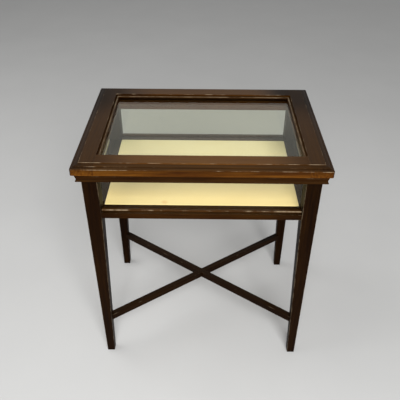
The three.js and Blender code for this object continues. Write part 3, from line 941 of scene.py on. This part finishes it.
def addStretchers():
    half, gap = stretchers["width"] / 2, stretchers["gap"]
    middle = stretchers["top"] - stretchers["height"] / 2
    centre = legSideAt(middle) / 2
    runX, runY = caseHalfWidth - centre, caseHalfDepth - centre
    angle = math.atan2(runY, runX)
    crossing = 2 * angle

    def legEnd(across, up):
        # where the bar has reached both of the leg's inner faces
        faceX = caseHalfWidth - legSideAt(up) - gap
        faceY = caseHalfDepth - legSideAt(up) - gap
        byX = (faceX + across * math.sin(angle)) / math.cos(angle)
        byY = (faceY - across * math.cos(angle)) / math.sin(angle)
        return max(byX, byY)

    arrisX, arrisY = caseHalfWidth - 2 * centre - gap, caseHalfDepth - 2 * centre - gap
    section = stretcherSection(abs(arrisY * math.cos(angle) - arrisX * math.sin(angle)))
    notch = (half + gap) / math.sin(crossing)
    lean = 1 / math.tan(crossing)
    for name, hand, keepsTop in (("stretcher_lower", 1, False), ("stretcher_upper", -1, True)):
        rings = []

        def halved(up):
            return max(up, middle + gap) if keepsTop else min(up, middle - gap)

        # the notch's walls follow the other bar's sides
        stations = [
            (lambda a, u: -legEnd(-a, u), False),
            (lambda a, u: -notch - a * lean, False),
            (lambda a, u: -notch - a * lean, True),
            (lambda a, u: notch - a * lean, True),
            (lambda a, u: notch - a * lean, False),
            (lambda a, u: legEnd(a, u), False),
        ]
        for station, cut in stations:
            rings.append([(station(across * hand, up), across, halved(up) if cut else up, edge)
                          for across, up, edge in section])
        made = loft(rings)
        bmesh.ops.remove_doubles(made, verts=made.verts, dist=0.01)
        settleWood(name, made, Matrix.Rotation(hand * angle, 4, "Z"), "case", legWood, stretchers["tone"])


addStretchers()
print("stretchers made")


# Lid. Sections run from the outer edge inwards, over the lid's underside.

lid = {
    "edge": 17.0,
    "thickness": lidHigh[2] - lidBase,
    "outerWidth": 19.0,
    "field": 37.0,
    "innerWidth": 8.0,
    "innerDrop": 7.0,
    "innerArris": 0.6,
    "lip": 6.0,
    "rebate": 7.0,
    "corner": 4.0,
    "jointGap": 0.12,
    "letIn": 3.0,
    "stripBase": 0.3,
    "cornerSteps": 6,
    "fieldStart": 6.0,
    "spread": 1.6,
    # the fields of the rails are painted brighter than their slopes and than the stiles: a painted sheen
    "tones": {"front": 0.85, "frontEnd": 0.32, "slope": 0.36, "edge": 0.74, "edgeEnd": 0.8, "back": 0.53,
              "backEnd": 0.18, "inner": 0.3, "lip": 0.06, "stile": 0.29, "bead": 0.3},
    "stileSlope": 0.6,  # share of the stile's tone
    "edgeLight": (1.3, 0.55),  # at the foot of the edge face, and how much less at its top
    "edgeFade": (150, 230),  # from the middle of a rail, where one tone starts to turn into the next
    "topSheenFade": 130,
    "beadWidth": 6.2,
    "beadHeight": 7.6,
    "beadRound": 4.0,
    "glassGap": 0.3,
}

# inset from the outer edge and height over the underside, with each corner's rounding and its edge value:
# wear, and pale painted highlight lines along the arrises
outerProfile = [
    (0.0, 0.0, 0.5, 0.5),
    (0.0, 17.0, 0.7, 1.0),
    (1.9, 18.75, 0.5, 0.5),
    (4.6, 19.45, 0.5, 0.2),
    (7.5, 19.3, 0.2, -1.0),
    (8.1, 21.2, 0.5, 0.8),
    (10.2, 22.1, 0, 0),
    (13.3, 22.85, 0, 0),
    (16.0, 23.15, 0, 0),
    (18.5, 23.2, 0.2, -0.5),
    (19.0, 25.6, 0.5, 1.05),
]
# the same from the field's inner edge towards the opening, as a drop below the field
innerProfile = [
    (0.0, 0.0, 0.6, 1.05),
    (0.3, 5.6, 0.2, -0.4),
    (1.6, 6.3, 0.3, -0.4),
    (2.7, 5.4, 0.6, 0.6),
    # the crest's high edge values paint a pale highlight line along the opening
    (4.6, 5.0, 1.0, 1.4),
    (6.4, 5.6, 0.8, 1.4),
    (8.0, 7.0, 0.5, 0.8),
]


def innerCorners(width):
    start = width - lid["innerWidth"]
    return [(start + across, lid["thickness"] - drop, radius, edge)
            for across, drop, radius, edge in innerProfile]


def rebateCorners(width, base):
    lip = lid["thickness"] - lid["innerDrop"] - lid["lip"]
    seat = width - lid["rebate"]
    return [(width, lip, 0.4, 0.3), (seat, lip, 0, 0), (seat, base, 0.4, 0.3)]


def lidSection(width):
    return softened(outerProfile + innerCorners(width) + rebateCorners(width, 0.0), spread=lid["spread"])


def stileBlock(joint, mitre):
    # rings that shrink on the outer side and both ends; the side towards the opening is upright,
    # with its arris rounded between the joints with the rails
    fieldInset, arris = lid["outerWidth"] + lid["fieldStart"], lid["innerArris"]
    field = [(fieldInset, lid["thickness"], 0, 0), (fieldInset, 0.0, 0, 0)]
    rings = []
    for inset, up, edge in softened(outerProfile + field, spread=lid["spread"])[:-1]:
        radius = max(lid["corner"] - inset, 0.5)
        outer, end = halfWidth - inset, halfDepth - inset
        over = min(max(0.0, up - (lid["thickness"] - arris)), arris)
        inner = joint + arris - math.sqrt(arris ** 2 - over ** 2)
        plan = [(inner, -mitre), (joint, -mitre - arris), (joint, -end)]
        for centreY, first in ((radius - end, -90), (end - radius, 0)):
            for step in range(lid["cornerSteps"] + 1):
                angle = math.radians(first + 90 * step / lid["cornerSteps"])
                plan.append((outer - radius + radius * math.cos(angle), centreY + radius * math.sin(angle)))
            if first:
                plan += [(outer, -mitre), (outer, mitre)]
        plan += [(joint, end), (joint, mitre + arris), (inner, mitre)]
        rings.append([(x, y, up, edge) for x, y in plan])
    return loft(rings)


def stileStrip(width, opening, reachY):
    # the moulding and rebate along the opening, mitred at both ends, let into the stile's side
    start, base = width - lid["innerWidth"] - lid["letIn"], lid["stripBase"]
    moulding = innerCorners(width)[2:]
    corners = [(start, base, 0, 0), (start, moulding[0][1], 0, 0), *moulding, *rebateCorners(width, base)]
    section = softened(corners, spread=lid["spread"])
    rings = []
    for sign in (-1, 1):
        ring = []
        for across, up, edge in section:
            reach = min(width - across, lid["innerWidth"])
            ring.append((opening + width - across, sign * (reachY + reach), up, edge))
        rings.append(ring)
    return loft(rings)


def addLidFrame():
    width = lid["outerWidth"] + lid["field"] + lid["innerWidth"]
    opening, reachY = halfWidth - width, halfDepth - width
    joint, mitre = opening + lid["innerWidth"], reachY + lid["innerWidth"]
    tones = lid["tones"]
    footLight, lost = lid["edgeLight"]

    # the small margins below pick out the points on one side of an arris
    def onEdge(ahead, up):
        return ahead < 0.3 and up < lid["edge"] + 0.5

    def lowerLight(up):
        # the edge face is more golden towards its foot
        return footLight - lost * up / lid["edge"]

    def stileTone(spot):
        if onEdge(spot.y + halfDepth, spot.z):
            return tones["edgeEnd"] * lowerLight(spot.z)
        onSlope = spot.x > halfWidth - lid["outerWidth"] + 0.7
        return tones["stile"] * (lid["stileSlope"] if onSlope else 1)

    def railTone(spot, middle, end):
        away = abs(spot.x)
        if onEdge(spot.y, spot.z):
            return blend(tones["edge"], tones["edgeEnd"], away, *lid["edgeFade"]) * lowerLight(spot.z)
        if spot.y > width - lid["innerWidth"] + 0.2:
            # the lip under the inner moulding is painted nearly black: painted shade
            onLip = spot.z < lid["thickness"] - lid["innerDrop"] - 0.6
            return tones["lip"] if onLip else tones["inner"]
        # painted brighter in the middle of each rail top and darker towards its ends: painted highlight and
        # painted shade
        return blend(middle, end, away, lid["topSheenFade"], joint)

    def frontTone(spot):
        onSlope = spot.y < lid["outerWidth"] - 0.7
        return railTone(spot, tones["slope"] if onSlope else tones["front"], tones["frontEnd"])

    def backTone(spot):
        return railTone(spot, tones["back"], tones["backEnd"])

    def end(across, up):
        return min(opening + width - across, joint) - lid["jointGap"]

    for name, sideX in (("lid_stile_left", -1), ("lid_stile_right", 1)):
        made = combined(stileBlock(joint, mitre), stileStrip(width, opening, reachY), "UNION")
        turn = Matrix.Translation((0, 0, lidBase)) @ Matrix.Diagonal((sideX, 1, 1, 1))
        settleWood(name, made, turn, "lid", lidWood, stileTone, (1, 0, 2))
    for name, turns, tone in (("lid_rail_front", 0, frontTone), ("lid_rail_back", 2, backTone)):
        made = bar(lidSection(width), lambda a, u: -end(a, u), end, between=15)
        settleWood(name, made, facing(turns, (0, -halfDepth, lidBase)), "lid", lidWood, tone)
    return opening, reachY


def addLidGlazing(opening, reachY):
    glaze("lid_glass")
    width, height, turn = lid["beadWidth"], lid["beadHeight"], lid["beadRound"]
    section = [(0, 0, 0.0)]
    steps = 6
    for step in range(steps + 1):
        angle = math.pi / 2 * (step / steps - 1)
        section.append((width - turn + turn * math.cos(angle), turn + turn * math.sin(angle), 0.4))
    section += [(width, height, 0.0), (0, height, 0.0)]
    base = nodeBox("lid_bead_front")[0][2]
    places = (("front", 0, opening, reachY), ("right", 1, reachY, opening),
              ("back", 2, opening, reachY), ("left", 3, reachY, opening))
    gap = lid["glassGap"]
    for side, turns, along, out in places:
        reach = along + lid["rebate"] - 1.5 * gap
        seat = Matrix.Translation((0, 0, base)) @ facing(turns, (0, -out - lid["rebate"] + gap, 0))
        made = bar(section, lambda a, u, r=reach: a - r, lambda a, u, r=reach: r - a)
        settleWood(f"lid_bead_{side}", made, seat, "lid", lidWood, lid["tones"]["bead"])


addLidGlazing(*addLidFrame())
print("lid made")


# Hinges: softened leaves and pins, and slotted screws put in their holes by a node tree

hinges = {
    "leafArris": 0.18,
    "pinArris": 0.3,
    "screwHead": 2.65,
    "screwShank": 1.25,
    "screwLength": 12.0,
    "headDepth": 1.4,
    "headRim": 0.3,
    "point": (3, 0.15),  # how long it is, and how thick at its end
    "slot": (0.75, 0.5),
    "sides": 16,
    "seed": 4,
}


def addHingePlates():
    for hand in ("left", "right"):
        for part, body, arris in (("case_leaf", "case", "leafArris"), ("lid_leaf", "lid", "leafArris"),
                                  ("pin", "case", "pinArris")):
            node = f"hinge_{hand}_{part}"
            settle(node + "_brass", cadCopy(node, hinges[arris]), Matrix.Identity(4), body, [node],
                   brass, sharp=40)


def turned(profile, sides, shift=0.0):
    # a closed round shape from (radius, z) points, the highest first
    made = bmesh.new()
    rows = []
    for radius, z in profile:
        angles = [2 * math.pi * (i + shift) / sides for i in range(sides)]
        rows.append([made.verts.new((radius * math.cos(angle), radius * math.sin(angle), z))
                     for angle in angles])
    for high, low in zip(rows, rows[1:]):
        for i in range(sides):
            j = (i + 1) % sides
            made.faces.new((high[j], high[i], low[i], low[j]))
    made.faces.new(list(reversed(rows[-1])))
    made.faces.new(rows[0])
    bmesh.ops.recalc_face_normals(made, faces=made.faces)
    return made


def screwShape():
    # lies along -Z with its head's face at zero
    head, shank, length = hinges["screwHead"], hinges["screwShank"], hinges["screwLength"]
    pointLength, tip = hinges["point"]
    slotWidth, slotDepth = hinges["slot"]
    profile = [(head, 0), (head, -hinges["headRim"]), (shank, -hinges["headDepth"]),
               (shank, pointLength - length), (tip, -length)]
    made = turned(profile, hinges["sides"], 0.5)
    slot = bmesh.new()
    bmesh.ops.create_cube(slot, size=1, matrix=Matrix.Diagonal((head * 3, slotWidth, slotDepth * 2, 1)))
    return smallShape("screw", combined(made, slot, "DIFFERENCE"))


def smallShape(name, made):
    # what a node tree repeats, in metres
    made.transform(Matrix.Scale(mm, 4))
    return bpy.data.objects.new(name, meshFrom(name, made))


def scatterTree(name, shape, material):
    # puts the shape on every point of the input, turned about its own axis by a seeded amount
    tree = bpy.data.node_groups.new(name, "GeometryNodeTree")
    for key, side, kind in (("Geometry", "INPUT", "Geometry"), ("Seed", "INPUT", "Int"),
                            ("Flip", "INPUT", "Float"), ("Geometry", "OUTPUT", "Geometry")):
        tree.interface.new_socket(key, in_out=side, socket_type="NodeSocket" + kind)
    make = Nodes(tree)
    points, seed, flip = (make.node("NodeGroupInput", output=key) for key in ("Geometry", "Seed", "Flip"))
    spin = make.node("FunctionNodeRandomValue", {"data_type": "FLOAT"},
                     {2: 0.0, 3: math.pi, "Seed": seed}, output=1)
    turn = make.node("ShaderNodeCombineXYZ", inputs={"X": flip, "Z": spin})
    single = make.node("GeometryNodeObjectInfo", inputs={"Object": shape}, output="Geometry")
    placed = make.node("GeometryNodeInstanceOnPoints",
                       inputs={"Points": points, "Instance": single, "Rotation": turn})
    real = make.node("GeometryNodeRealizeInstances", inputs=[placed])
    coated = make.node("GeometryNodeSetMaterial", inputs={"Geometry": real, "Material": material})
    make.node("NodeGroupOutput", inputs=[coated])
    return tree


def scattered(name, points, tree, inputs):
    # points in metres; the node tree's result becomes a plain mesh
    mesh = bpy.data.meshes.new(name)
    mesh.from_pydata(points, [], [])
    piece = linked(name, mesh)
    modifier = piece.modifiers.new("scatter", "NODES")
    modifier.node_group = tree
    sockets = {item.name: item.identifier for item in tree.interface.items_tree
               if item.item_type == "SOCKET" and item.in_out == "INPUT"}
    for key, value in inputs.items():
        modifier[sockets[key]] = value
    graph = bpy.context.evaluated_depsgraph_get()
    graph.update()
    result = bpy.data.meshes.new_from_object(piece.evaluated_get(graph))
    piece.modifiers.clear()
    piece.data = result
    smoothed(result, 35)
    return piece


def addScrews():
    shape = screwShape()
    tree = scatterTree("screwPlaces", shape, brass)
    for body, flip in (("case", 0.0), ("lid", math.pi)):
        nodes = [f"hinge_{hand}_{body}_screw_{i}" for hand in ("left", "right") for i in (1, 2)]
        points = []
        for node in nodes:
            low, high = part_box(node)
            z = high[2] if body == "case" else low[2]
            points.append(((low[0] + high[0]) / 2, (low[1] + high[1]) / 2, z))
        piece = scattered(f"hinge_screws_{body}", points, tree, {"Seed": hinges["seed"], "Flip": flip})
        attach(piece, body)
        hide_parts(*nodes)
    bpy.data.objects.remove(shape)


def addBoardPins():
    # round heads along the rim of the base board, seen from below
    (x0, y0, z0), (x1, y1, _) = nodeBox("base_board")
    head, proud, inset = boards["pinHead"], boards["pinProud"], boards["pinInset"]
    angles = [math.radians(turn) for turn in (0, 30, 60)]
    profile = [(head * math.cos(angle), -proud * math.sin(angle)) for angle in angles]
    shape = smallShape("pinHead", turned(profile, boards["pinSides"]))
    tree = scatterTree("pinPlaces", shape, steel)
    points = []
    for low, high, across in ((x0, x1, (y0 + inset, y1 - inset)), (y0, y1, (x0 + inset, x1 - inset))):
        reach = high - low - 2 * legSide
        count = max(2, round(reach / boards["pinSpacing"]))
        for i in range(count + 1):
            along = low + legSide + reach * i / count
            for other in across:
                spot = (along, other) if low == x0 else (other, along)
                points.append((spot[0] * mm, spot[1] * mm, z0 * mm))
    piece = scattered("base_board_pins", points, tree, {"Seed": boards["pinSeed"], "Flip": 0.0})
    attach(piece, "case")
    bpy.data.objects.remove(shape)


addHingePlates()
addScrews()
addBoardPins()
print("hinges, screws and pins made")


# Floor and light

studio = {
    "floorHalf": 8.0,
    "floor": tint(0.50, 0.50, 0.492),
    "floorMottle": tint(0.46, 0.46, 0.455),
    "sky": 0.32,  # how strongly it lights the table
    "backdrop": tint(0.9, 0.9, 0.9),  # the same sky as seen, mirrored or through glass
    "aim": (0, 0, 0.45),
    "key": {"place": (0.3, -2.5, 2.4), "size": 1.6, "power": 148, "mirrored": False},
    "fill": {"place": (-2.0, 0.2, 2.8), "size": 2.2, "power": 38, "mirrored": True},
}


def addStudio():
    make = Finish("floor")
    speck = make.noise(make.place(), scale=3.0, detail=3.0)
    colour = make.mix(studio["floor"], studio["floorMottle"], speck)
    mesh = bpy.data.meshes.new("floor")
    half = studio["floorHalf"]
    corners = [(-half, -half, 0), (half, -half, 0), (half, half, 0), (-half, half, 0)]
    mesh.from_pydata(corners, [], [(0, 1, 2, 3)])
    mesh.materials.append(make.surface({"Base Color": colour, "Roughness": 0.9}))
    floor = linked("floor", mesh)
    sky = Finish("sky", "worlds")
    rays = ("Is Camera Ray", "Is Glossy Ray", "Is Transmission Ray")
    direct, mirrored, through = (sky.node("ShaderNodeLightPath", output=ray) for ray in rays)
    shown = direct.calc("MAXIMUM", mirrored).calc("MAXIMUM", through)
    plain = sky.node("ShaderNodeBackground", inputs={"Color": tint(1, 1, 1), "Strength": studio["sky"]})
    seen = sky.node("ShaderNodeBackground", inputs={"Color": studio["backdrop"]})
    mixed = sky.node("ShaderNodeMixShader", inputs=[shown, plain, seen])
    bpy.context.scene.world = sky.output(mixed, "ShaderNodeOutputWorld")
    for name in ("key", "fill"):
        lamp = studio[name]
        data = bpy.data.lights.new(name, "AREA")
        data.size = lamp["size"]
        data.energy = lamp["power"]
        holder = linked(name, data)
        place = Vector(lamp["place"])
        aim = Vector(studio["aim"]) - place
        holder.matrix_world = Matrix.Translation(place) @ aim.to_track_quat("-Z", "Y").to_matrix().to_4x4()
        holder.visible_glossy = lamp["mirrored"]  # the key would fill the lid's glass with white
    bpy.context.scene.view_settings.view_transform = "Standard"


addStudio()
print("studio made")
